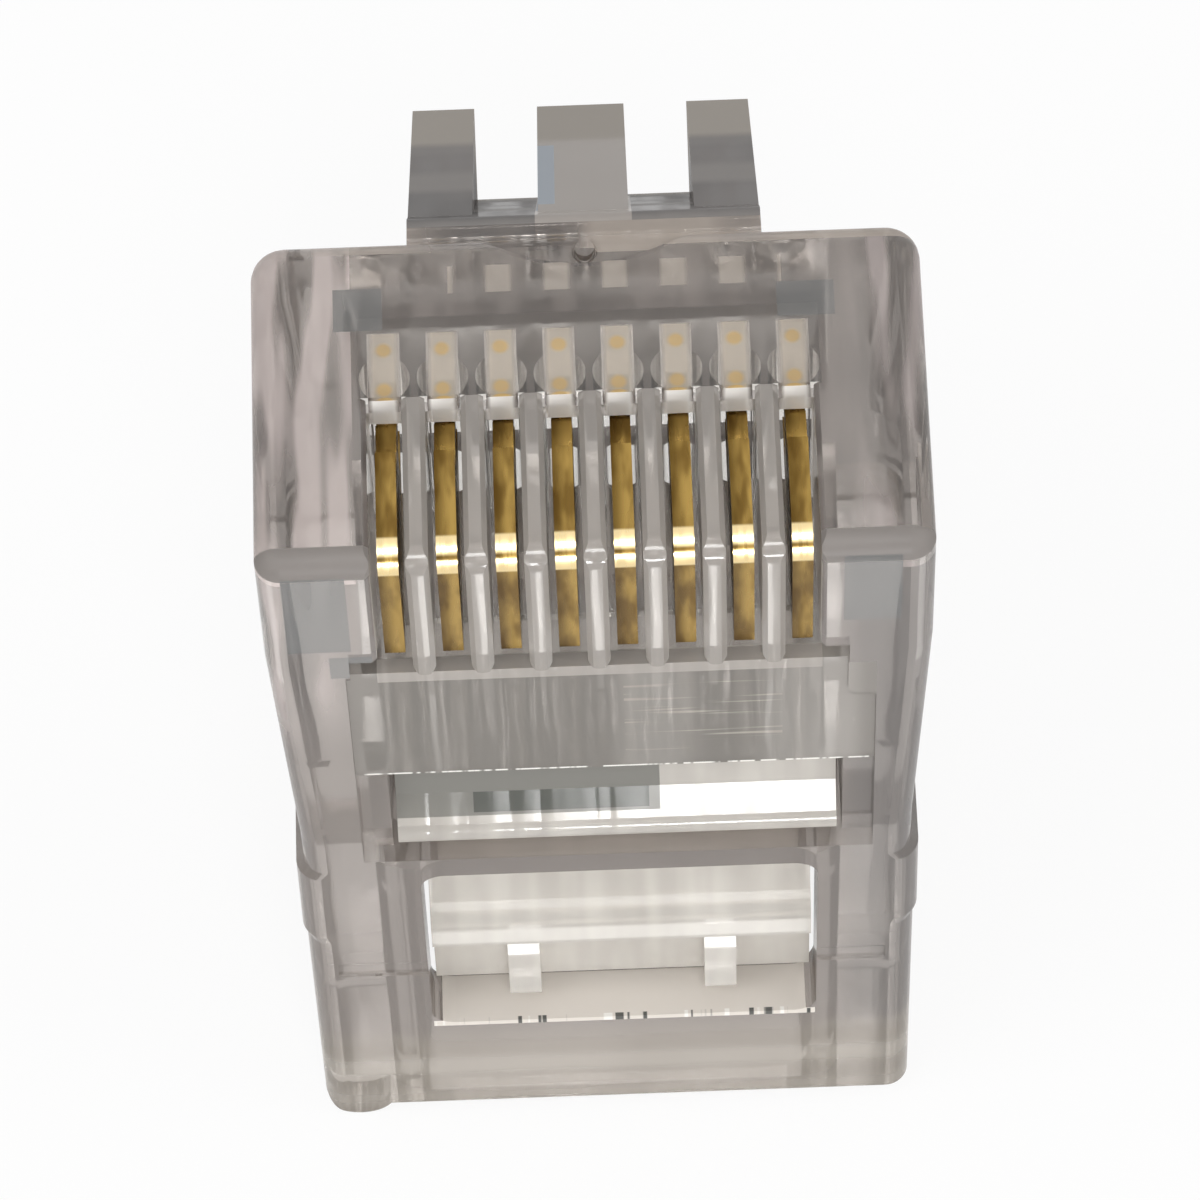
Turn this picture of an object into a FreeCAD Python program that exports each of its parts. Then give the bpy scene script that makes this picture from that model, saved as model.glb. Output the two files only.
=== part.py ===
import FreeCAD, Part
import math
import os

os.makedirs("parts", exist_ok=True)

# ---------------------------------------------------------------------------
# Modular plug, eight positions, eight contacts, not yet fitted to a cable.
#
# Frame: the plug stands on its cable end with its nose up.
#   X  across the contacts, 0 in the middle
#   Y  through the thickness, contact face on -Y, latch on +Y,
#      0 in the middle of the cable opening
#   Z  along the plug, 0 at the cable end
# Inside the script a place is given as x, its depth below the contact face
# and its distance back from the nose.  Sizes are in millimetres.
# ---------------------------------------------------------------------------

# housing, outside
plug_length = 21.46
nose_width = 11.68
waist_width = 11.16
rear_width = 11.32
nose_thickness = 6.60
latch_side_step = 1.40      # the cable end is this much thicker than the nose
shoulder_back = 3.60        # straight sides end here
waist_back = 10.40          # narrowest place
ear_start_back = 11.40      # low ears on both sides
ear_end_back = 14.30
ear_height = 0.14
ear_ramp = 0.25
step_back = 14.70           # latch side steps up for the round cable
step_ramp = 0.90
latch_side_corner_r = 0.60
contact_side_corner_r = 0.45
nose_edge_r = 0.42
rear_edge_r = 0.18
wall_tongue_reach = 0.30    # round end of the left side wall, past the cable end
wall_tongue_depth = 2.20
wall_tongue_edge_r = 0.12

# contact blade
blade_thickness = 0.36
blade_front_back = 0.40
blade_length = 3.25
blade_top_depth = 0.33
blade_corner_r = 0.50
tine_count = 2
tine_width = 0.75
tine_reach = 0.25           # tine tips below the wire centre line, before crimping
crimp_travel = 0.35
crimp_clearance = 0.20
foot_rise = 0.30            # front foot ends this much higher than crimping needs
foot_clearance = 0.06       # front foot to the nose wall
tine_end_gap = 0.05

# contact comb
contact_count = 8
contact_pitch = 1.016
blade_side_gap = 0.13       # blade to partition
tine_side_gap = 0.10        # blade to the narrower slot under it
slot_mouth = 0.09           # bevel of the slot's mouth
slot_depth = 3.35
slot_end_gap = 0.35         # blade to the end of its slot
comb_groove_length = 0.10   # gap between the partition ends and the panel
comb_groove_depth = 1.00
nose_wall = 0.90
wire_stop_gap = 0.35        # wire bores end behind the nose wall
bore_wall = 0.116           # between two wire bores
wire_depth = 4.15           # wire centre line below the contact face
comb_pocket_width = 0.50    # blind square pockets beside the comb
comb_pocket_length = 0.62
comb_pocket_depth = 0.48

# panel behind the comb; the panel and both windows sit a little to one side
window_shift = 0.20
panel_width = 9.30
panel_depth = 0.12
panel_end_back = 7.80
panel_shoulder_width = 0.50 # rounded block that narrows the panel next to the comb
panel_shoulder_length = 1.20
panel_shoulder_r = 0.20

# conductor chamber and the window of the conductor clamp
chamber_width = 8.60
chamber_top_depth = 2.30
chamber_floor_gap = 0.20    # floor below the wire bores
chamber_front_back = 8.00
chamber_ramp_length = 1.40  # floor slopes out towards the jacket cavity
conductor_window_width = 8.20
conductor_window_length = 3.20
clamp_recess_width = 9.30
clamp_recess_depth = 0.35

# jacket cavity and the window of the jacket clamp
entry_width = 8.60
entry_corner_r = 1.00
contact_side_wall = 1.00
latch_side_wall = 0.80
window_bridge = 0.65        # bar of housing between the two windows
jacket_window_width = 7.30
jacket_window_length = 6.15
jacket_window_corner_r = 0.45
cross_groove_back = 15.20   # fine groove across the contact side
cross_groove_length = 0.50
cross_groove_depth = 0.06
cross_groove_end_gap = 0.45 # groove's end to the side

# gate recess under the latch root, with the stub of the gate
gate_recess_r = 3.10
gate_recess_reach = 0.68    # how far the round reaches down the nose face
gate_recess_depth = 0.20
gate_stub_r = 0.26
gate_stub_tip_r = 0.17
gate_stub_height = 0.15

# latch lever
latch_width = 6.20
latch_angle = 34.7          # free position, from the latch side of the body
latch_hinge_height = 0.40   # hinge axis above the latch side
latch_hinge_back = 0.75
latch_neck_back = 0.22      # neck in front of the root
latch_neck_wall = 0.16      # how far it leans back
latch_root_r = 0.35
latch_shoulder_back = 8.20  # locking shoulder behind the nose when pressed flat
latch_web_inner = 0.25      # web faces at the shoulder, from the lever's centre line
latch_web_outer = 0.30
latch_rib_height = 1.98
latch_barb_width = 1.14
latch_rib_width = 1.60
latch_rib_start = 0.80
latch_rib_run_out = 1.80
hinge_clearance = 0.02
tail_width = 3.25
tail_length = 5.40
tail_thickness = 0.75
tail_bend = 5.5
tail_grip_count = 3
tail_grip_height = 0.14
tail_grip_width = 0.30
tail_grip_pitch = 0.70

# clamp bars
clamp_side_clearance = 0.10
clamp_root_r = 0.30
clamp_root_clearance = 0.05
conductor_root_depth = 0.55
conductor_bar_front_gap = 0.50
conductor_bar_nose_gap = 0.20  # nose above the chamber
conductor_bar_slope = 0.85     # top face falls steeply from the root, then gently
conductor_bar_slope_drop = 0.50
conductor_bar_tread_drop = 0.15
conductor_bar_edge = 0.14
conductor_bar_nose_edge = 0.38
conductor_bar_nose_land = 0.60
jacket_root_depth = 1.45
jacket_bar_end_gap = 0.30
jacket_bar_edge = 0.10
jacket_bar_thickness = 0.75
jacket_ramp_start = 0.65       # behind the root: the face rises to a land that the tool presses
jacket_ramp_length = 1.65
jacket_ramp_r = 0.60
jacket_land_depth = 0.22
jacket_step_length = 0.30
jacket_shelf_depth = 0.80
jacket_shelf_length = 2.20
jacket_lug_depth = 2.10
jacket_lug_edge = 0.60
jacket_lug_land = 1.30
jacket_lug_slope = 1.00
jacket_rib_width = 0.60
jacket_rib_spacing = 3.70
jacket_rib_top_depth = 0.30
jacket_rib_ramp = 0.30
jacket_rib_end_gap = 0.10

# modelling allowances
beyond = 1.00               # how far a cutter passes the face that it opens
bite = 0.10                 # how far two joined solids run into each other
same_place = 1e-3

# worked out from the sizes above
rear_thickness = nose_thickness + latch_side_step
entry_height = rear_thickness - contact_side_wall - latch_side_wall
contact_face_y = -entry_height / 2 - contact_side_wall
slot_width = blade_thickness + 2 * blade_side_gap
tine_slot_width = blade_thickness + 2 * tine_side_gap
blade_end_back = blade_front_back + blade_length
blade_foot_depth = slot_depth - crimp_travel - crimp_clearance - foot_rise
slot_length = blade_end_back + slot_end_gap
wire_bore_r = (contact_pitch - bore_wall) / 2
tine_tip_depth = wire_depth + tine_reach
tine_slot_depth = tine_tip_depth + crimp_travel + crimp_clearance
comb_half_width = (contact_count - 1) / 2 * contact_pitch + slot_width / 2
chamber_floor_depth = wire_depth + wire_bore_r + chamber_floor_gap
inner_nose_depth = nose_thickness - latch_side_wall
inner_rear_depth = rear_thickness - latch_side_wall
conductor_window_end = panel_end_back + conductor_window_length
jacket_window_back = conductor_window_end + window_bridge
jacket_window_end = jacket_window_back + jacket_window_length
conductor_bar_root = conductor_window_end - clamp_root_clearance - clamp_root_r
jacket_bar_root = jacket_window_back + clamp_root_clearance + clamp_root_r
jacket_root_pocket_depth = jacket_root_depth + clamp_root_r + clamp_root_clearance
jacket_front_back = jacket_bar_root + clamp_root_clearance
latch_hinge_depth = nose_thickness + latch_hinge_height
latch_shoulder_reach = latch_shoulder_back - latch_hinge_back


def place(x, depth, back):
    """Point from x, depth below the contact face and distance back from the nose."""
    return FreeCAD.Vector(x, contact_face_y + depth, plug_length - back)


def block(x_low, x_high, depth_low, depth_high, back_low, back_high):
    """Rectangular block between two corners."""
    corner = place(x_low, depth_low, back_high)
    return Part.makeBox(x_high - x_low, depth_high - depth_low, back_high - back_low, corner)


def side_prism(outline, width, centre_x=0.0):
    """Outline of (back, depth) points, extruded across the plug."""
    points = [place(centre_x - width / 2, depth, back) for back, depth in outline]
    face = Part.Face(Part.makePolygon(points + points[:1]))
    return face.extrude(FreeCAD.Vector(width, 0, 0))


def cross_bar(radius, width, depth, back, centre_x=0.0):
    """Round bar that runs across the plug."""
    start = place(centre_x - width / 2, depth, back)
    return Part.makeCylinder(radius, width, start, FreeCAD.Vector(1, 0, 0))


def contact_positions():
    """X of every contact, from the first to the last."""
    first = -(contact_count - 1) / 2 * contact_pitch
    return [first + i * contact_pitch for i in range(contact_count)]


def at_point(target):
    """Test for a place that is the same as target."""
    return lambda point: (point - target).Length < same_place


def edges_along(shape, direction, test):
    """Straight edges parallel to direction whose middle passes the test."""
    found = []
    for edge in shape.Edges:
        if not isinstance(edge.Curve, (Part.Line, Part.LineSegment)):
            continue
        run = edge.Vertexes[-1].Point - edge.Vertexes[0].Point
        if run.Length > 1e-6 and abs(run.normalize().dot(direction)) > 0.999:
            if test(edge.CenterOfMass):
                found.append(edge)
    return found


# --- housing ----------------------------------------------------------------

def section(back, width, thickness):
    """Outline of the housing across its length: a rectangle with rounded corners."""
    half, near, far = width / 2, contact_side_corner_r, latch_side_corner_r
    slant = math.sqrt(0.5)

    def arc(x_sign, depth, depth_sign, radius):
        centre_x, centre_depth = x_sign * (half - radius), depth - depth_sign * radius
        flat = place(centre_x, depth, back)
        middle = place(centre_x + x_sign * radius * slant, centre_depth + depth_sign * radius * slant, back)
        side = place(x_sign * half, centre_depth, back)
        return flat, middle, side

    near_right, near_left = arc(1, 0, -1, near), arc(-1, 0, -1, near)
    far_right, far_left = arc(1, thickness, 1, far), arc(-1, thickness, 1, far)
    edges = [
        Part.LineSegment(near_left[0], near_right[0]), Part.Arc(*near_right),
        Part.LineSegment(near_right[2], far_right[2]), Part.Arc(*reversed(far_right)),
        Part.LineSegment(far_right[0], far_left[0]), Part.Arc(*far_left),
        Part.LineSegment(far_left[2], near_left[2]), Part.Arc(*reversed(near_left))]
    return Part.Wire([edge.toShape() for edge in edges])


def straight_length(back_low, back_high, width, thickness):
    """Stretch of the housing with one section all along."""
    face = Part.Face(section(back_high, width, thickness))
    return face.extrude(FreeCAD.Vector(0, 0, back_high - back_low))


def rim_edges(shape, back):
    """Edges that lie in the plane across the plug at this distance from the nose."""
    height = plug_length - back
    return [e for e in shape.Edges if all(abs(v.Point.z - height) < 1e-6 for v in e.Vertexes)]


def housing_outside():
    """Outer form: straight nose, waist, low ears on the sides, thicker cable end."""
    step_end_back = step_back + step_ramp
    nose = straight_length(0, shoulder_back, nose_width, nose_thickness)
    nose = nose.makeFillet(nose_edge_r, rim_edges(nose, 0))
    rear = straight_length(step_end_back, plug_length, rear_width, rear_thickness)
    rear = rear.makeChamfer(rear_edge_r, rim_edges(rear, plug_length))
    spans = [
        (shoulder_back, nose_width), (waist_back, waist_width), (ear_start_back, waist_width),
        (ear_start_back + ear_ramp, waist_width + 2 * ear_height),
        (ear_end_back - ear_ramp, rear_width + ear_height),
        (ear_end_back, rear_width), (step_back, rear_width)]
    middle = [section(back, width, nose_thickness) for back, width in spans]
    middle.append(section(step_end_back, rear_width, rear_thickness))
    return nose.fuse([Part.makeLoft(middle, True, True), rear, wall_tongue()])


def wall_tongue():
    """Round end of the left side wall, which stands a little past the cable end."""
    radius = (rear_width - entry_width) / 4
    centre = place(radius - rear_width / 2, 0, plug_length + wall_tongue_reach - radius)
    tongue = Part.makeCylinder(radius, wall_tongue_depth, centre, FreeCAD.Vector(0, 1, 0))
    rims = [edge for edge in tongue.Edges if isinstance(edge.Curve, Part.Circle)]
    tongue = tongue.makeFillet(wall_tongue_edge_r, rims)
    end_back = plug_length + wall_tongue_reach
    return tongue.common(straight_length(plug_length - radius, end_back, rear_width, rear_thickness))


def comb_slot(x):
    """Slot for one contact: open at the nose and at the contact face."""
    slot = block(x - slot_width / 2, x + slot_width / 2, -beyond, slot_depth, -beyond, slot_length)
    tines = block(x - tine_slot_width / 2, x + tine_slot_width / 2, slot_depth - bite, tine_slot_depth,
                  nose_wall, slot_length)
    wire_stop = nose_wall + wire_stop_gap
    wire = Part.makeCylinder(wire_bore_r, chamber_front_back - wire_stop + bite,
                             place(x, wire_depth, wire_stop), FreeCAD.Vector(0, 0, -1))
    return [slot, comb_groove(x), tines, wire] + slot_mouths(x)


def slot_mouths(x):
    """Bevels along both sides of a slot, on the contact side and on the nose."""
    inner, outer = slot_width / 2 - bite, slot_width / 2 + slot_mouth
    deep = slot_mouth + bite
    on_contact_side = [place(x - outer, 0, 0), place(x + outer, 0, 0), place(x + inner, deep, 0),
                       place(x - inner, deep, 0)]
    on_nose = [place(x - outer, 0, 0), place(x + outer, 0, 0), place(x + inner, 0, deep),
               place(x - inner, 0, deep)]
    runs = [(on_contact_side, FreeCAD.Vector(0, 0, -slot_length)),
            (on_nose, FreeCAD.Vector(0, slot_depth, 0))]
    return [Part.Face(Part.makePolygon(points + points[:1])).extrude(run) for points, run in runs]


def comb_groove(x):
    """Flare at the slot's end that leaves each partition with a round end."""
    round_r = (contact_pitch - slot_width) / 2
    start = slot_length - comb_groove_length - round_r
    low, high = x - contact_pitch / 2, x + contact_pitch / 2
    flare = block(low, high, -beyond, comb_groove_depth, start, slot_length)
    for edge_x in (low, high):
        flare = flare.cut(Part.makeCylinder(round_r, comb_groove_depth + 3 * beyond,
                                            place(edge_x, -2 * beyond, start), FreeCAD.Vector(0, 1, 0)))
    return flare


def comb_pockets():
    """Small square pockets in the housing on both sides of the comb."""
    inner, outer = comb_half_width, comb_half_width + comb_pocket_width
    start = slot_length - comb_pocket_length
    return [block(low, high, -beyond, comb_pocket_depth, start, slot_length)
            for low, high in ((inner - bite, outer), (-outer, bite - inner))]


def panel_recess():
    """Shallow recess behind the comb, with a rounded shoulder in its right front corner."""
    low, high = window_shift - panel_width / 2, window_shift + panel_width / 2
    recess = block(low, high, -beyond, panel_depth, slot_length, panel_end_back)
    shoulder = block(high - panel_shoulder_width, high + beyond, -2 * beyond, 2 * beyond,
                     slot_length - beyond, slot_length + panel_shoulder_length)
    inner = place(high - panel_shoulder_width, 0, slot_length + panel_shoulder_length)
    through = FreeCAD.Vector(0, 1, 0)
    corner = edges_along(shoulder, through, at_point(inner))
    return recess.cut(shoulder.makeFillet(panel_shoulder_r, corner))


def jacket_cavity():
    """Room for the cable jacket, open at the cable end."""
    ramp_start = step_back + latch_side_wall / 2
    open_end = plug_length + beyond
    outline = [
        (open_end, contact_side_wall), (jacket_front_back, contact_side_wall),
        (jacket_front_back, inner_nose_depth), (ramp_start, inner_nose_depth),
        (ramp_start + step_ramp, inner_rear_depth), (open_end, inner_rear_depth)]
    cavity = side_prism(outline, entry_width)
    along = FreeCAD.Vector(0, 0, 1)
    return cavity.makeFillet(entry_corner_r, edges_along(cavity, along, lambda point: True))


def conductor_chamber():
    """Flat room for the conductors, whose floor rises from the jacket cavity to the bores."""
    end, slope = jacket_front_back + bite, jacket_front_back - chamber_ramp_length
    fall = (inner_nose_depth - chamber_floor_depth) * (1 + bite / chamber_ramp_length)
    return side_prism([
        (chamber_front_back, chamber_top_depth), (chamber_front_back, chamber_floor_depth),
        (slope, chamber_floor_depth), (end, chamber_floor_depth + fall), (end, chamber_top_depth)],
        chamber_width)


def clamp_windows():
    """Windows through the contact side that the two clamp bars are pressed into."""
    def window(width, depth, start, end):
        return block(window_shift - width / 2, window_shift + width / 2, -beyond, depth, start, end)

    conductor = window(conductor_window_width, chamber_top_depth + bite,
                       panel_end_back, conductor_window_end)
    recess = window(clamp_recess_width, clamp_recess_depth, panel_end_back, conductor_window_end)
    jacket = window(jacket_window_width, contact_side_wall + entry_corner_r / 2,
                    jacket_window_back, jacket_window_end)
    through = FreeCAD.Vector(0, 1, 0)
    jacket = jacket.makeFillet(jacket_window_corner_r, edges_along(jacket, through, lambda point: True))
    half = jacket_window_width / 2
    root = block(window_shift - half, window_shift + half, contact_side_wall - bite,
                 jacket_root_pocket_depth, jacket_window_back, jacket_front_back + bite)
    groove_half = waist_width / 2 - cross_groove_end_gap
    groove = block(-groove_half, groove_half, -beyond, cross_groove_depth,
                   cross_groove_back, cross_groove_back + cross_groove_length)
    return [conductor, recess, jacket, root, groove]


def latch_cradle():
    """Low neck at the nose that the root of the lever turns in, and the round of its seat."""
    foot, head = latch_neck_back, latch_neck_back + latch_neck_wall
    base = nose_thickness - nose_edge_r
    neck = side_prism([(foot, base), (foot, nose_thickness), (head, latch_hinge_depth),
                       (latch_hinge_back, latch_hinge_depth), (latch_hinge_back, base)], latch_width)
    seat = cross_bar(latch_root_r + hinge_clearance, latch_width + beyond,
                     latch_hinge_depth, latch_hinge_back)
    return neck, seat


def gate_recess():
    """Round shallow recess in the nose face, where the moulding was fed, and the gate's stub in it."""
    forward = FreeCAD.Vector(0, 0, 1)
    centre_depth = nose_thickness - gate_recess_reach + gate_recess_r
    recess = Part.makeCylinder(gate_recess_r, gate_recess_depth + beyond,
                               place(0, centre_depth, gate_recess_depth), forward)
    stub_depth = nose_thickness - gate_recess_reach / 2
    stub = Part.makeCone(gate_stub_r, gate_stub_tip_r, gate_stub_height + bite,
                         place(0, stub_depth, gate_recess_depth + bite), forward)
    return recess, stub


def make_housing():
    gate, stub = gate_recess()
    cutters = [gate, jacket_cavity(), conductor_chamber(), panel_recess()]
    cutters += clamp_windows() + comb_pockets()
    for x in contact_positions():
        cutters += comb_slot(x)
    body = housing_outside().cut(cutters)
    neck, seat = latch_cradle()
    return body.fuse([neck, stub]).cut(seat).removeSplitter()


# --- latch lever ------------------------------------------------------------

def lever_prism(outline, width, centre_x, angle, origin):
    """Outline of (along, out) points, measured along the lever and out from its centre line."""
    turn = math.radians(angle)
    along = FreeCAD.Vector(0, math.sin(turn), -math.cos(turn))
    out = FreeCAD.Vector(0, math.cos(turn), math.sin(turn))
    side = FreeCAD.Vector(centre_x - width / 2, 0, 0)
    points = [origin + along * t + out * n + side for t, n in outline]
    face = Part.Face(Part.makePolygon(points + points[:1]))
    return face.extrude(FreeCAD.Vector(width, 0, 0))


def make_latch_lever():
    hinge = place(0, latch_hinge_depth, latch_hinge_back)
    reach = latch_shoulder_reach
    root = cross_bar(latch_root_r, latch_width, latch_hinge_depth, latch_hinge_back)
    web = lever_prism([(0, -latch_root_r), (0, latch_root_r), (reach, latch_web_outer),
                       (reach, -latch_web_inner)], latch_width, 0, latch_angle, hinge)
    pieces = [web]
    barb = [(latch_rib_start, 0), (latch_rib_start, latch_root_r), (reach, latch_rib_height), (reach, 0)]
    barb_x = (latch_width - latch_barb_width) / 2
    pieces += [lever_prism(barb, latch_barb_width, x, latch_angle, hinge) for x in (-barb_x, barb_x)]
    rib = barb[:3] + [(reach + latch_rib_run_out, latch_web_outer), (reach + latch_rib_run_out, 0)]
    pieces.append(lever_prism(rib, latch_rib_width, 0, latch_angle, hinge))
    pieces.append(latch_tail(hinge, reach))
    return root.fuse(pieces).removeSplitter()


def latch_tail(hinge, reach):
    """Narrow thumb tail behind the shoulders, bent a little towards the body."""
    turn = math.radians(latch_angle)
    start = hinge + FreeCAD.Vector(0, math.sin(turn), -math.cos(turn)) * (reach - tail_thickness)
    angle = latch_angle - tail_bend
    top, bottom = latch_web_outer, latch_web_outer - tail_thickness
    length = tail_length + tail_thickness
    end_r = tail_thickness / 2
    tail = lever_prism([(0, bottom), (0, top), (length - end_r, top), (length, top - end_r),
                        (length - end_r, bottom)], tail_width, 0, angle, start)
    grips = []
    for i in range(tail_grip_count):
        back_edge = length - end_r - i * tail_grip_pitch
        front_edge = back_edge - tail_grip_width
        crest = top + tail_grip_height
        grips.append(lever_prism([(front_edge, 0), (front_edge + tail_grip_height / 2, crest),
                                  (back_edge, crest), (back_edge, 0)], tail_width, 0, angle, start))
    return tail.fuse(grips)


# --- clamp bars ---------------------------------------------------------------

def make_conductor_clamp_bar():
    width = conductor_window_width - 2 * clamp_side_clearance
    root, front = conductor_bar_root, panel_end_back + conductor_bar_front_gap
    top, bottom = conductor_root_depth - clamp_root_r, conductor_root_depth + clamp_root_r
    nose = chamber_top_depth - conductor_bar_nose_gap
    slope_depth = top + conductor_bar_slope_drop
    tread = slope_depth + conductor_bar_tread_drop
    bar = side_prism([
        (root, top), (root - conductor_bar_slope, slope_depth),
        (front + conductor_bar_edge, tread), (front, tread + conductor_bar_edge),
        (front, nose - conductor_bar_nose_edge), (front + conductor_bar_nose_edge, nose),
        (front + conductor_bar_nose_edge + conductor_bar_nose_land, nose),
        (root, bottom)], width, window_shift)
    root_bar = cross_bar(clamp_root_r, width, conductor_root_depth, root, window_shift)
    return bar.fuse(root_bar).removeSplitter()


def make_jacket_clamp_bar():
    width = jacket_window_width - 2 * clamp_side_clearance
    root, end = jacket_bar_root, jacket_window_end - jacket_bar_end_gap
    top, bottom = jacket_root_depth - clamp_root_r, jacket_root_depth + clamp_root_r
    ramp_start = root + jacket_ramp_start
    crest = ramp_start + jacket_ramp_length
    land, under = jacket_land_depth, jacket_land_depth + jacket_bar_thickness
    shelf, shelf_start, lug = jacket_shelf_depth, end - jacket_shelf_length, jacket_lug_depth
    land_end = end - jacket_lug_edge
    land_start = land_end - jacket_lug_land
    bar = side_prism([
        (root, top), (ramp_start, top), (crest, land), (shelf_start - jacket_step_length, land),
        (shelf_start, shelf), (end - jacket_bar_edge, shelf), (end, shelf + jacket_bar_edge),
        (end, lug - jacket_lug_edge), (land_end, lug), (land_start, lug),
        (land_start - jacket_lug_slope, under), (crest, under), (ramp_start, bottom),
        (root, bottom)], width, window_shift)
    across = FreeCAD.Vector(1, 0, 0)
    crest_edge = edges_along(bar, across, at_point(place(window_shift, land, crest)))
    bar = bar.makeFillet(jacket_ramp_r, crest_edge)
    ribs = [jacket_rib(window_shift + side * jacket_rib_spacing / 2, shelf_start, end) for side in (-1, 1)]
    root_bar = cross_bar(clamp_root_r, width, jacket_root_depth, root, window_shift)
    bar = bar.fuse(ribs + [root_bar])
    half = width / 2
    envelope = block(window_shift - half, window_shift + half, -beyond, lug + beyond,
                     jacket_window_back + clamp_root_clearance, end + beyond)
    through = FreeCAD.Vector(0, 1, 0)
    envelope = envelope.makeFillet(jacket_window_corner_r - clamp_side_clearance,
                                   edges_along(envelope, through, lambda point: True))
    return bar.common(envelope).removeSplitter()


def jacket_rib(x, shelf_start, end):
    """Stiffening rib that stands on the shelf of the jacket clamp bar."""
    foot, back = jacket_shelf_depth + bite, end - jacket_rib_end_gap
    return side_prism([
        (shelf_start, foot), (shelf_start, jacket_shelf_depth),
        (shelf_start + jacket_rib_ramp, jacket_rib_top_depth),
        (back - jacket_rib_ramp / 2, jacket_rib_top_depth), (back, foot)], jacket_rib_width, x)


# --- contacts -----------------------------------------------------------------

def make_contact(x):
    """Flat blade: top edge that the jack's wires touch, front foot and piercing tines."""
    front, end, top = blade_front_back, blade_end_back, blade_top_depth
    foot_end = nose_wall + foot_clearance
    tine_room = end - foot_end - 2 * tine_end_gap
    outline = [(front, blade_foot_depth), (foot_end, blade_foot_depth), (foot_end, slot_depth)]
    for i in range(tine_count):
        centre = foot_end + tine_end_gap + tine_room * (i + 0.5) / tine_count
        outline += [(centre - tine_width / 2, slot_depth), (centre, tine_tip_depth),
                    (centre + tine_width / 2, slot_depth)]
    outline += [(end, slot_depth), (end, top), (front, top)]
    blade = side_prism(outline, blade_thickness, x)
    across = FreeCAD.Vector(1, 0, 0)
    nose_corner = edges_along(blade, across, at_point(place(x, top, front)))
    return blade.makeFillet(blade_corner_r, nose_corner)


def export(name, shape):
    """Check that the solid is sound, then write it."""
    if not shape.isValid():
        raise ValueError(name + " is not a sound solid")
    if shape.ShapeType != "Solid" and len(shape.Solids) == 1:
        shape = shape.Solids[0]
    shape.exportStep("parts/" + name + ".step")
    box = shape.BoundBox
    print("%-22s solids %d  volume %8.3f  faces %3d  y %.2f..%.2f  z %.2f..%.2f" % (
        name, len(shape.Solids), shape.Volume, len(shape.Faces), box.YMin, box.YMax, box.ZMin, box.ZMax))


export("housing", make_housing())
export("latch_lever", make_latch_lever())
export("conductor_clamp_bar", make_conductor_clamp_bar())
export("jacket_clamp_bar", make_jacket_clamp_bar())
for number, contact_x in enumerate(contact_positions(), start=1):
    export("contact_%d" % number, make_contact(contact_x))
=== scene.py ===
import math
from functools import reduce

import bpy
from mathutils import Matrix, Vector


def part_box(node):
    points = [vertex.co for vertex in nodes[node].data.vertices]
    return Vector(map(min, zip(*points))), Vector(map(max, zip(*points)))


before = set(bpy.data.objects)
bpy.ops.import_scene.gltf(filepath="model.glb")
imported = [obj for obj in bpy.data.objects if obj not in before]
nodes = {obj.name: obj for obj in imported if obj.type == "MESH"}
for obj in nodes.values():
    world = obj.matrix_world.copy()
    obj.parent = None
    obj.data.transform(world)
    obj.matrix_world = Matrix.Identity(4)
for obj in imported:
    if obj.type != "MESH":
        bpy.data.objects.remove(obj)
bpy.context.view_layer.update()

housingLow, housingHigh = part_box("housing")
print("frame loaded:", len(nodes), "nodes")


class Wire:  # one output socket, so that shader maths reads as plain sums
    def __init__(self, finish, socket):
        self.finish, self.socket = finish, socket

    def __add__(self, other):
        return self.finish.maths("ADD", self, other)

    def __radd__(self, other):
        return self.finish.maths("ADD", other, self)

    def __sub__(self, other):
        return self.finish.maths("SUBTRACT", self, other)

    def __rsub__(self, other):
        return self.finish.maths("SUBTRACT", other, self)

    def __mul__(self, other):
        return self.finish.maths("MULTIPLY", self, other)

    def __rmul__(self, other):
        return self.finish.maths("MULTIPLY", other, self)

    def __abs__(self):
        return self.finish.maths("ABSOLUTE", self)


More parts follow.
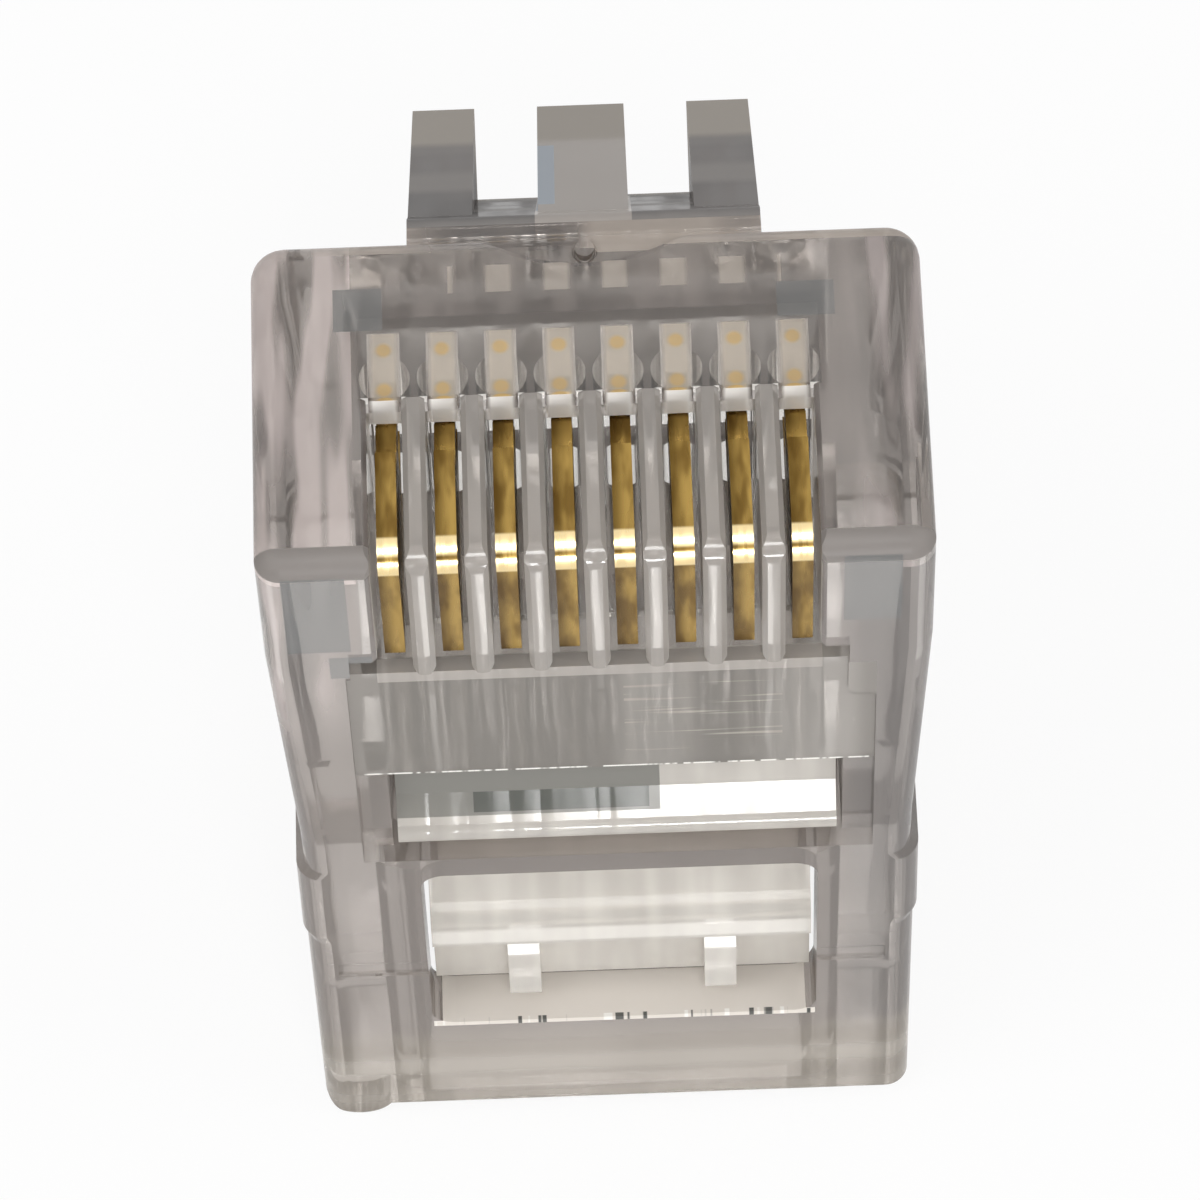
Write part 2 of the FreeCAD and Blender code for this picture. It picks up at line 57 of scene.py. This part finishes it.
class Finish:  # the node tree of a material or of the world
    def __init__(self, name, kind="materials"):
        self.owner = getattr(bpy.data, kind).new(name)
        self.owner.use_nodes = True
        self.tree = self.owner.node_tree
        self.tree.nodes.clear()
        ends = {"materials": "ShaderNodeOutputMaterial", "worlds": "ShaderNodeOutputWorld"}
        self.end = self.tree.nodes.new(ends[kind])

    def node(self, kind, settings, inputs, output=0):
        made = self.tree.nodes.new(kind)
        for name, value in settings.items():
            setattr(made, name, value)
        for key, value in inputs.items():
            if isinstance(value, Wire):
                self.tree.links.new(value.socket, made.inputs[key])
            else:
                made.inputs[key].default_value = value
        return Wire(self, made.outputs[output])

    def maths(self, operation, *values):
        return self.node("ShaderNodeMath", {"operation": operation}, dict(enumerate(values)))

    def spot(self):  # place on the piece, in metres
        return self.node("ShaderNodeTexCoord", {}, {}, "Object")

    def axis(self, letter):
        return self.node("ShaderNodeSeparateXYZ", {}, {0: self.spot()}, letter)

    def noise(self, scale, detail=1.0):  # scale: waves per metre along x, y and z
        spread = self.node("ShaderNodeVectorMath", {"operation": "MULTIPLY"}, {
            0: self.spot(), 1: scale})
        return self.node("ShaderNodeTexNoise", {}, {"Vector": spread, "Scale": 1.0, "Detail": detail})

    def ripple(self, value, scale, detail=0.0, rough=0.7):  # noise along one axis only
        return self.node("ShaderNodeTexNoise", {"noise_dimensions": "1D"}, {
            "W": value, "Scale": scale, "Detail": detail, "Roughness": rough})

    def band(self, value, low, high):  # 0 at low, 1 at high, whichever is larger
        return self.node("ShaderNodeMapRange", {"interpolation_type": "SMOOTHSTEP"}, {
            "Value": value, "From Min": low, "From Max": high})

    def between(self, value, low, high, soft):  # 1 from low to high
        return self.band(value, low - soft, low + soft) * self.band(value, high + soft, high - soft)

    def blend(self, factor, first, second):  # a Mix node keeps numbers and colours on their own sockets
        return self.node("ShaderNodeMix", {}, {0: factor, 2: first, 3: second})

    def blendColour(self, factor, first, second):
        return self.node("ShaderNodeMix", {"data_type": "RGBA"}, {0: factor, 6: first, 7: second}, 2)

    def blendShader(self, factor, first, second):
        return self.node("ShaderNodeMixShader", {}, {0: factor, 1: first, 2: second})

    def bump(self, height, strength, distance):
        return self.node("ShaderNodeBump", {}, {
            "Height": height, "Strength": strength, "Distance": distance})

    def close(self, shader):
        self.tree.links.new(shader.socket, self.end.inputs["Surface"])
        return self.owner


def dress(name, material):
    slots = nodes[name].data.materials
    if not slots:
        slots.append(material)
    for i in range(len(slots)):
        slots[i] = material


plastic = {
    "tint": (0.60, 0.555, 0.52, 1),
    "cloudTint": (0.49, 0.45, 0.42, 1),
    "haze": (0.44, 0.385, 0.355, 1),
    "hazeCloud": (0.36, 0.318, 0.295, 1),
    "hazeLow": 0.14,  # share of the matt haze
    "hazeHigh": 0.34,
    "hazeRough": 0.7,
    "ior": 1.58,
    "roughLow": 0.03,
    "roughHigh": 0.12,
    "cloudScale": (420, 420, 260),
    "cloudSpan": (0.35, 0.68),
    "streakScale": (2200, 260, 240),  # moulding streaks run from the nose to the cable end
    "streakSpan": (0.3, 0.75),
    "streakBump": 0.35,
    "streakDepth": 0.00003,
}


class Moulding:  # clear plastic with a matt haze in it, place by place
    def __init__(self, finish, values):
        self.f, self.values = finish, values
        f = self.f
        self.along = {letter: f.axis(letter) for letter in "XYZ"}
        self.x, self.y, self.z = self.along.values()
        self.streak = f.noise(values["streakScale"])
        cloud = f.band(f.noise(values["cloudScale"]), *values["cloudSpan"])
        grain = f.band(self.streak, *values["streakSpan"])
        self.tint = f.blendColour(cloud, values["tint"], values["cloudTint"])
        self.hazeColour = f.blendColour(cloud, values["haze"], values["hazeCloud"])
        self.rough = f.blend(grain, values["roughLow"], values["roughHigh"])
        self.haze = f.blend(grain, values["hazeLow"], values["hazeHigh"])
        self.normal = f.bump(self.streak, values["streakBump"], values["streakDepth"])

    def inside(self, box, *masks):  # 1 between the box's limits, times the masks
        parts = [self.f.maths("COMPARE", self.along[letter], (low + high) / 2, (high - low) / 2)
                 for letter, (low, high) in box.items()]
        return reduce(lambda one, other: one * other, [*parts, *masks])

    def paint(self, zone, *masks):  # a zone without a box goes by its masks alone
        f, mask = self.f, self.inside(zone.get("box", {}), *masks)
        self.hazeColour = f.blendColour(mask, self.hazeColour, zone["colour"])
        self.haze = f.blend(mask, self.haze, zone["haze"])
        if "tint" in zone:
            self.tint = f.blendColour(mask, self.tint, zone["tint"])
        if "rough" in zone:
            self.rough = f.blend(mask, self.rough, zone["rough"])

    def shader(self):
        clear = self.f.node("ShaderNodeBsdfPrincipled", {}, {
            "Base Color": self.tint, "Roughness": self.rough, "Normal": self.normal,
            "IOR": self.values["ior"], "Transmission Weight": 1.0})
        matt = self.f.node("ShaderNodeBsdfPrincipled", {}, {
            "Base Color": self.hazeColour, "Roughness": self.values["hazeRough"],
            "Normal": self.normal, "Specular IOR Level": 0.0})
        return self.f.blendShader(self.haze, clear, matt)


housing = {
    "split": 0.01746,  # the comb's end: nose zones before it, body zones behind it
    "side": {"colour": (0.62, 0.54, 0.52, 1), "haze": 0.46},  # pink streaks of the side walls
    "sideAcross": (0.00430, 0.00510), "sideAlong": (0.01250, 0.01600), "sideStreaks": (0.44, 0.64),
    "shade": {"colour": (0.33, 0.29, 0.265, 1), "haze": 0.36},  # the body is duller than the nose
    "shadeAlong": (0.01746, 0.0140),
    "right": {"box": {"Z": (-0.0010, 0.0208)}, "colour": (0.23, 0.21, 0.20, 1), "haze": 0.44},
    "rightAcross": (0.0039, 0.0047),
    "deep": {"box": {"X": (-0.0043, 0.0043), "Y": (-0.0037, 0.0030), "Z": (0.0130, 0.0205)},
             "colour": (0.80, 0.76, 0.70, 1), "haze": 0.12,  # inner faces of the slots and wire bores: painted light, paler and clearer than the rest
             "tint": (0.97, 0.95, 0.92, 1)},
}
noseZones = {
    "pitch": 0.001016,  # from contact to contact
    "left": {"box": {"X": (-0.0070, -0.0041), "Z": (0.02090, 0.0230)},
             "colour": (0.74, 0.64, 0.61, 1), "haze": 0.54},
    "leftStreaks": (0.36, 0.56),
    "edge": {"box": {"Y": (-0.0050, -0.00366), "Z": (0.02104, 0.0230)},  # round edge of the nose
             "colour": (0.29, 0.265, 0.25, 1), "haze": 0.60, "rough": 0.45},
    "comb": {"box": {"X": (-0.00385, 0.00385), "Y": (-0.0050, -0.00076)},
             "colour": (0.54, 0.50, 0.46, 1), "haze": 0.45,
             "tint": (0.86, 0.82, 0.77, 1), "rough": 0.06},
    # painted light: slot walls paler than the comb around them
    "walls": {"box": {"X": (-0.00390, 0.00390), "Y": (-0.00402, -0.00074), "Z": (0.01760, 0.02095)},
              "colour": (0.86, 0.81, 0.74, 1), "haze": 0.30},
    "wallFrom": 0.00019,  # from a partition's middle
    "front": {"box": {"X": (-0.0040, 0.0040), "Y": (-0.00076, 0.00085), "Z": (0.02125, 0.0230)},
              "colour": (0.44, 0.385, 0.355, 1), "haze": 0.05,
              "tint": (0.86, 0.82, 0.77, 1), "rough": 0.01},
    "contactAcross": (0.00022, 0.00034),
    # painted highlight: white glow on the slot floors at the contacts
    "floor": {"box": {"X": (-0.0040, 0.0040), "Y": (-0.00085, -0.00060), "Z": (0.02046, 0.02135)},
              "colour": (0.97, 0.95, 0.92, 1), "haze": 0.92},
    # painted light: pale lit frames on the pockets' top faces
    "pocket": {"box": {"X": (-0.0040, 0.0040), "Y": (-0.00074, 0.00083), "Z": (0.02050, 0.02062)},
               "colour": (0.90, 0.82, 0.71, 1), "haze": 0.80},
    "glint": {"box": {"X": (-0.0040, 0.0040), "Z": (0.02050, 0.02062)},
              "colour": (1.0, 0.74, 0.34, 1), "haze": 0.95},  # painted highlight: round gold glints on the plastic of the pockets
    "glintPlaces": (-0.00030, 0.00050), "glintRound": (0.00018, 0.00009),
    "rim": {"box": {"Y": (0.00215, 0.0030), "Z": (0.02090, 0.0230)},
            "colour": (0.56, 0.49, 0.43, 1), "haze": 0.60},
    "rimScale": 330, "rimSpan": (0.40, 0.56),
    # painted reflection: pale squares of the comb on the nose face
    "patch": {"box": {"X": (-0.0024, 0.0034), "Y": (0.0013, 0.00185), "Z": (0.02125, 0.0230)},
              "colour": (0.60, 0.53, 0.46, 1), "haze": 0.44},
    # painted reflections: grey patches near the nose's corners
    "corner": {"colour": (0.23, 0.235, 0.235, 1), "haze": 0.46},
    "cornerBoxes": ({"X": (-0.00540, -0.00430), "Y": (-0.0050, -0.00365), "Z": (0.01850, 0.02110)},
                    {"X": (0.00425, 0.00525), "Y": (-0.0050, -0.00365), "Z": (0.01900, 0.02120)},
                    {"X": (-0.00470, -0.00395), "Y": (-0.0050, -0.00365), "Z": (0.01755, 0.01830)},
                    {"X": (-0.00440, -0.00355), "Y": (0.00060, 0.00145), "Z": (0.02120, 0.0230)},
                    {"X": (0.00330, 0.00430), "Y": (0.00060, 0.00130), "Z": (0.02120, 0.0230)}),
}
bodyZones = {
    # the pale colour after the rear tone: painted highlight bands across the rear
    "rear": {"colour": (0.37, 0.325, 0.27, 1), "haze": 0.36}, "rearPale": (0.56, 0.51, 0.44, 1),
    "rearAlong": (0.0036, 0.0024), "rearScale": 900, "rearSpan": (0.36, 0.80),
    "panel": {"box": {"X": (-0.00445, 0.00485), "Y": (-0.0050, -0.0037), "Z": (0.01366, 0.0180)},
              "colour": (0.235, 0.22, 0.20, 1), "haze": 0.62},
    "panelPale": (0.34, 0.32, 0.295, 1), "paleScale": 420, "paleSpan": (0.50, 0.68),
    "scratch": {"box": {"X": (0.0004, 0.0032), "Y": (-0.0050, -0.0037), "Z": (0.0141, 0.0168)},
                "colour": (0.46, 0.43, 0.38, 1), "haze": 0.60},
    "scratchScale": (420, 100, 9000), "scratchSpan": (0.56, 0.70),
    # painted light: pale band at the top of the panel where the comb ends
    "end": {"box": {"X": (-0.00390, 0.00390), "Y": (-0.0050, -0.0037), "Z": (0.01712, 0.0180)},
            "colour": (0.42, 0.39, 0.36, 1), "haze": 0.75},
    "sill": {"box": {"X": (-0.00343, 0.00383), "Y": (-0.0050, -0.00312), "Z": (0.00352, 0.00374)},
             "colour": (0.74, 0.69, 0.63, 1), "haze": 0.85},  # end face of the jacket window, with painted light
    # painted shade along the window's lower edge; its white copy is painted glints
    "lip": {"box": {"X": (-0.00343, 0.00383), "Y": (-0.0050, -0.00402), "Z": (0.00352, 0.00372)},
            "colour": (0.08, 0.085, 0.08, 1), "haze": 0.80},
    "lipWhite": (0.95, 0.93, 0.88, 1), "lipWhiteSpan": (0.42, 0.36),
    "lipScale": 2600, "lipDetail": 2.0, "lipSpan": (0.56, 0.62),
    "ledge": {"box": {"X": (-0.00445, 0.00485), "Y": (-0.0050, -0.0039), "Z": (0.01359, 0.01371)},
              "colour": (0.95, 0.93, 0.88, 1), "haze": 0.75},  # painted highlight: white line where the panel ends
    "ledgeSpan": (0.40, 0.52),
}


def noseFinish(m, own, deep):
    f = m.f
    m.paint(own["left"], f.band(m.streak, *own["leftStreaks"]))
    m.paint(own["edge"])
    m.paint(own["comb"])
    # painted light: inner faces paler and clearer
    m.paint(deep)
    # comb is 0 on a partition's middle and half the pitch on a contact
    comb = f.maths("PINGPONG", m.x, own["pitch"] / 2)
    # painted light on the slot walls
    m.paint(own["walls"], f.maths("GREATER_THAN", comb, own["wallFrom"]))
    m.paint(own["front"])
    onContact = f.band(comb, *own["contactAcross"])
    # painted highlight on the slot floors
    m.paint(own["floor"], onContact)
    # painted light on the pockets' top faces
    m.paint(own["pocket"], onContact)
    here = f.node("ShaderNodeCombineXYZ", {}, {0: comb, 1: m.y})
    # painted highlight: round gold glints
    for place in own["glintPlaces"]:
        away = f.node("ShaderNodeVectorMath", {"operation": "DISTANCE"}, {
            0: here, 1: (own["pitch"] / 2, place, 0)}, "Value")
        m.paint(own["glint"], f.band(away, *own["glintRound"]))
    m.paint(own["rim"], f.band(f.ripple(m.x, own["rimScale"]), *own["rimSpan"]))
    # painted reflection of the comb on the nose face
    m.paint(own["patch"], onContact)
    # painted reflections near the nose's corners
    for box in own["cornerBoxes"]:
        m.paint(dict(own["corner"], box=box))


def bodyFinish(m, own, deep):
    f = m.f
    rear = f.band(m.z, *own["rearAlong"])
    m.paint(own["rear"], rear)
    pale = f.band(f.ripple(m.z, own["rearScale"]), *own["rearSpan"])
    # painted highlights: pale bands across the rear
    m.paint(dict(own["rear"], colour=own["rearPale"]), rear, pale)
    # painted light: inner faces paler and clearer
    m.paint(deep)
    m.paint(own["panel"])
    pale = f.band(f.ripple(m.x, own["paleScale"]), *own["paleSpan"])
    m.paint(dict(own["panel"], colour=own["panelPale"]), pale)
    m.paint(own["scratch"], f.band(f.noise(own["scratchScale"]), *own["scratchSpan"]))
    # painted light at the top of the panel
    m.paint(own["end"])
    # painted light on the end face of the jacket window
    m.paint(own["sill"])
    ragged = f.ripple(m.x, own["lipScale"], own["lipDetail"])
    # painted shade and painted glints, ragged along the window's edge
    m.paint(own["lip"], f.band(ragged, *own["lipSpan"]))
    m.paint(dict(own["lip"], colour=own["lipWhite"]), f.band(ragged, *own["lipWhiteSpan"]))
    # painted highlight along the panel's end
    m.paint(own["ledge"], f.band(ragged, *own["ledgeSpan"]))


def housingPlastic(name, values, own):
    f = Finish(name)
    nose, body = Moulding(f, values), Moulding(f, values)
    sides = f.band(abs(body.x), *own["sideAcross"]) * f.band(body.z, *own["sideAlong"])
    sides = sides * f.band(body.streak, *own["sideStreaks"])
    right = f.band(body.x, *own["rightAcross"])
    nose.paint(own["side"], sides)
    nose.paint(own["right"], right)
    noseFinish(nose, noseZones, own["deep"])
    body.paint(own["side"], sides)
    body.paint(own["shade"], f.band(body.z, *own["shadeAlong"]))
    body.paint(own["right"], right)
    bodyFinish(body, bodyZones, own["deep"])
    onNose = f.maths("GREATER_THAN", body.z, own["split"])
    return f.close(f.blendShader(onNose, body.shader(), nose.shader()))


latch = dict(
    plastic, tint=(0.36, 0.34, 0.33, 1), haze=(0.27, 0.25, 0.24, 1), hazeCloud=(0.21, 0.20, 0.195, 1),
    hazeLow=0.62, hazeHigh=0.82,
    bands={"colour": (0.33, 0.31, 0.295, 1), "haze": 0.82}, bandScale=620, bandSpan=(0.48, 0.60),
    centre={"box": {"X": (-0.00085, 0.00085)}, "colour": (0.58, 0.53, 0.49, 1), "haze": 0.62},
    blue={"box": {"X": (-0.00084, -0.00050), "Y": (0.0040, 0.0068)},
          "colour": (0.47, 0.51, 0.56, 1), "haze": 0.82},
    ends={"colour": (0.45, 0.41, 0.365, 1), "haze": 0.82}, endsOut=(0.0068, 0.0072))


def latchPlastic(name, values):
    f = Finish(name)
    m = Moulding(f, values)
    m.paint(values["bands"], f.band(f.ripple(m.z, values["bandScale"]), *values["bandSpan"]))
    m.paint(values["centre"])
    m.paint(values["blue"])
    m.paint(values["ends"], f.band(m.y, *values["endsOut"]))
    return f.close(m.shader())


bars = dict(
    plastic, tint=(0.94, 0.91, 0.86, 1), cloudTint=(0.88, 0.85, 0.80, 1), haze=(0.93, 0.89, 0.83, 1),
    hazeCloud=(0.86, 0.82, 0.76, 1), hazeLow=0.36, hazeHigh=0.44,
    # painted dark reflections on the conductor bar's ramp: a grey strip, and a darker one within it
    dull={"box": {"X": (-0.0060, 0.0010), "Y": (-0.0060, -0.0020), "Z": (0.01122, 0.0140)},
          "colour": (0.24, 0.235, 0.215, 1), "haze": 0.80},
    shade={"box": {"X": (-0.0024, 0.0008), "Y": (-0.0060, -0.0020), "Z": (0.01128, 0.01166)},
           "colour": (0.11, 0.115, 0.105, 1), "haze": 0.80})


def barPlastic(name, values, paintedReflections=()):
    f = Finish(name)
    m = Moulding(f, values)
    # paints the dark reflections given by name
    for paintedReflection in paintedReflections:
        m.paint(values[paintedReflection])
    return f.close(m.shader())


gold = {
    "bright": (0.46, 0.30, 0.085, 1),
    "dull": (0.21, 0.125, 0.032, 1),
    "dark": (0.07, 0.035, 0.006, 1),  # painted shade on the left side of a blade
    "darkAcross": (-0.00018, 0.00010),
    "darkShare": 0.7,
    "patchScale": (3200, 900, 900),
    "patchDetail": 2.0,
    "patchSpan": (0.36, 0.66),
    "brushScale": (9000, 1200, 1200),
    "brushSpan": (0.3, 0.7),
    "brushBump": 0.5,
    "brushDepth": 0.000008,
    "roughLow": 0.20,
    "roughHigh": 0.40,
    "paintedHighlight": (1.0, 0.80, 0.44, 1),  # painted highlight: bright bands on the blade's round front edge
    "highlightBands": (((-0.00364, -0.00330), (0.02093, 0.0220)), ((-0.0050, -0.00367), (0.02056, 0.02087))),
    "highlightSoft": 0.00003,
    "highlightShare": 0.85,
}


def goldPlate(name, values, middle):
    f = Finish(name)
    patch = f.noise(values["patchScale"], values["patchDetail"])
    brush = f.noise(values["brushScale"])
    across = f.band(f.axis("X") - middle, *values["darkAcross"])
    colour = f.blendColour(f.band(patch, *values["patchSpan"]), values["bright"], values["dull"])
    # painted shade on each blade's left side
    colour = f.blendColour((1 - across) * values["darkShare"], colour, values["dark"])
    y, z, soft = f.axis("Y"), f.axis("Z"), values["highlightSoft"]
    # painted highlight: two bright bands on the blade's round front edge
    for (deepLow, deepHigh), (low, high) in values["highlightBands"]:
        paintedHighlight = f.between(y, deepLow, deepHigh, soft) * f.between(z, low, high, soft)
        colour = f.blendColour(paintedHighlight * values["highlightShare"], colour, values["paintedHighlight"])
    grain = f.band(brush, *values["brushSpan"])
    rough = grain * (values["roughHigh"] - values["roughLow"]) + values["roughLow"]
    normal = f.bump(brush, values["brushBump"], values["brushDepth"])
    return f.close(f.node("ShaderNodeBsdfPrincipled", {}, {
        "Base Color": colour, "Roughness": rough, "Metallic": 1.0, "Normal": normal}))


dress("housing", housingPlastic("housing_plastic", plastic, housing))
dress("latch_lever", latchPlastic("latch_plastic", latch))
dress("conductor_clamp_bar", barPlastic("conductor_bar_plastic", bars, ("dull", "shade")))
dress("jacket_clamp_bar", barPlastic("jacket_bar_plastic", bars))
for name in sorted(nodes):
    if name.startswith("contact_"):
        low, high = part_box(name)
        dress(name, goldPlate(name + "_gold", gold, (low.x + high.x) / 2))
print("finishes made")


stage = {
    "floorReach": 0.6,
    "floorColour": (0.93, 0.93, 0.93, 1),
    "whiteShare": 0.88,  # the rest keeps the plug's shadow
}


def seenDirectly(f):  # rays of the camera, of reflections and through clear pieces
    seen = 0.0
    for ray in ("Is Camera Ray", "Is Glossy Ray", "Is Transmission Ray"):
        seen = f.node("ShaderNodeLightPath", {}, {}, ray) + seen
    return f.band(seen, 0.0, 1.0)


def paleFloor(values):
    far = values["floorReach"]
    mesh = bpy.data.meshes.new("floor")
    corners = [(-far, -far, 0), (far, -far, 0), (far, far, 0), (-far, far, 0)]
    mesh.from_pydata(corners, [], [(0, 1, 2, 3)])
    floor = bpy.data.objects.new("floor", mesh)
    floor.location.z = housingLow.z
    bpy.context.scene.collection.objects.link(floor)
    f = Finish("floor_white")
    matt = f.node("ShaderNodeBsdfDiffuse", {}, {"Color": values["floorColour"]})
    glow = f.node("ShaderNodeEmission", {}, {"Color": (1, 1, 1, 1), "Strength": 1.0})
    share = seenDirectly(f) * values["whiteShare"]
    mesh.materials.append(f.close(f.blendShader(share, matt, glow)))


lamps = {
    "key": {"place": (-0.16, -0.10, 0.26), "size": 0.20, "watts": 0.25},
    "side": {"place": (0.22, -0.05, 0.16), "size": 0.14, "watts": 0.12},
    "front": {"place": (0.035, -0.36, 0.03), "size": 0.08, "watts": 0.55},
    "overhead": {"place": (0.02, -0.20, 0.34), "size": 0.10, "watts": 0.42},
}


def softLamps(values):
    for name, lamp in values.items():
        light = bpy.data.lights.new(name, "AREA")
        light.shape, light.size, light.energy = "SQUARE", lamp["size"], lamp["watts"]
        holder = bpy.data.objects.new(name, light)
        holder.location = lamp["place"]
        aim = Vector((0, 0, housingHigh.z / 2)) - holder.location
        holder.rotation_euler = aim.to_track_quat("-Z", "Y").to_euler()
        bpy.context.scene.collection.objects.link(holder)


room = {"strength": 0.45}  # its light on the plug; seen directly it is white


def greyRoom(values):
    f = Finish("room", "worlds")
    light = f.node("ShaderNodeBackground", {}, {"Color": (1, 1, 1, 1), "Strength": values["strength"]})
    white = f.node("ShaderNodeBackground", {}, {"Color": (1, 1, 1, 1), "Strength": 1.0})
    bpy.context.scene.world = f.close(f.blendShader(seenDirectly(f), light, white))


view = {
    "elevation": 61.0,
    "azimuth": 0.24,
    "roll": -2.31,
    "distance": 0.130,
    "focal": 229.2,
    "sensor": 36.0,
    "aimRight": -0.00008,  # the nose edge's middle, right of and above the middle of the view
    "aimUp": 0.00069,
    "clip": (0.005, 5.0),
}


def makeCamera(values):
    up, turn, roll = (math.radians(values[key]) for key in ("elevation", "azimuth", "roll"))
    back = Vector((math.sin(turn) * math.cos(up), -math.cos(turn) * math.cos(up), math.sin(up)))
    level = Vector((0, 0, 1)).cross(back).normalized()
    rise = back.cross(level)
    right = level * math.cos(roll) + rise * math.sin(roll)
    top = rise * math.cos(roll) - level * math.sin(roll)
    noseEdge = Vector((0, housingLow.y, housingHigh.z))
    spot = noseEdge - right * values["aimRight"] - top * values["aimUp"] + back * values["distance"]
    lens = bpy.data.cameras.new("camera")
    lens.lens, lens.sensor_width = values["focal"], values["sensor"]
    lens.clip_start, lens.clip_end = values["clip"]
    camera = bpy.data.objects.new("camera", lens)
    camera.matrix_world = Matrix((
        (right.x, top.x, back.x, spot.x), (right.y, top.y, back.y, spot.y),
        (right.z, top.z, back.z, spot.z), (0, 0, 0, 1)))
    bpy.context.scene.collection.objects.link(camera)
    bpy.context.scene.camera = camera


paleFloor(stage)
softLamps(lamps)
greyRoom(room)
makeCamera(view)
bpy.context.scene.view_settings.view_transform = "Standard"
print("floor, lamps and camera set")
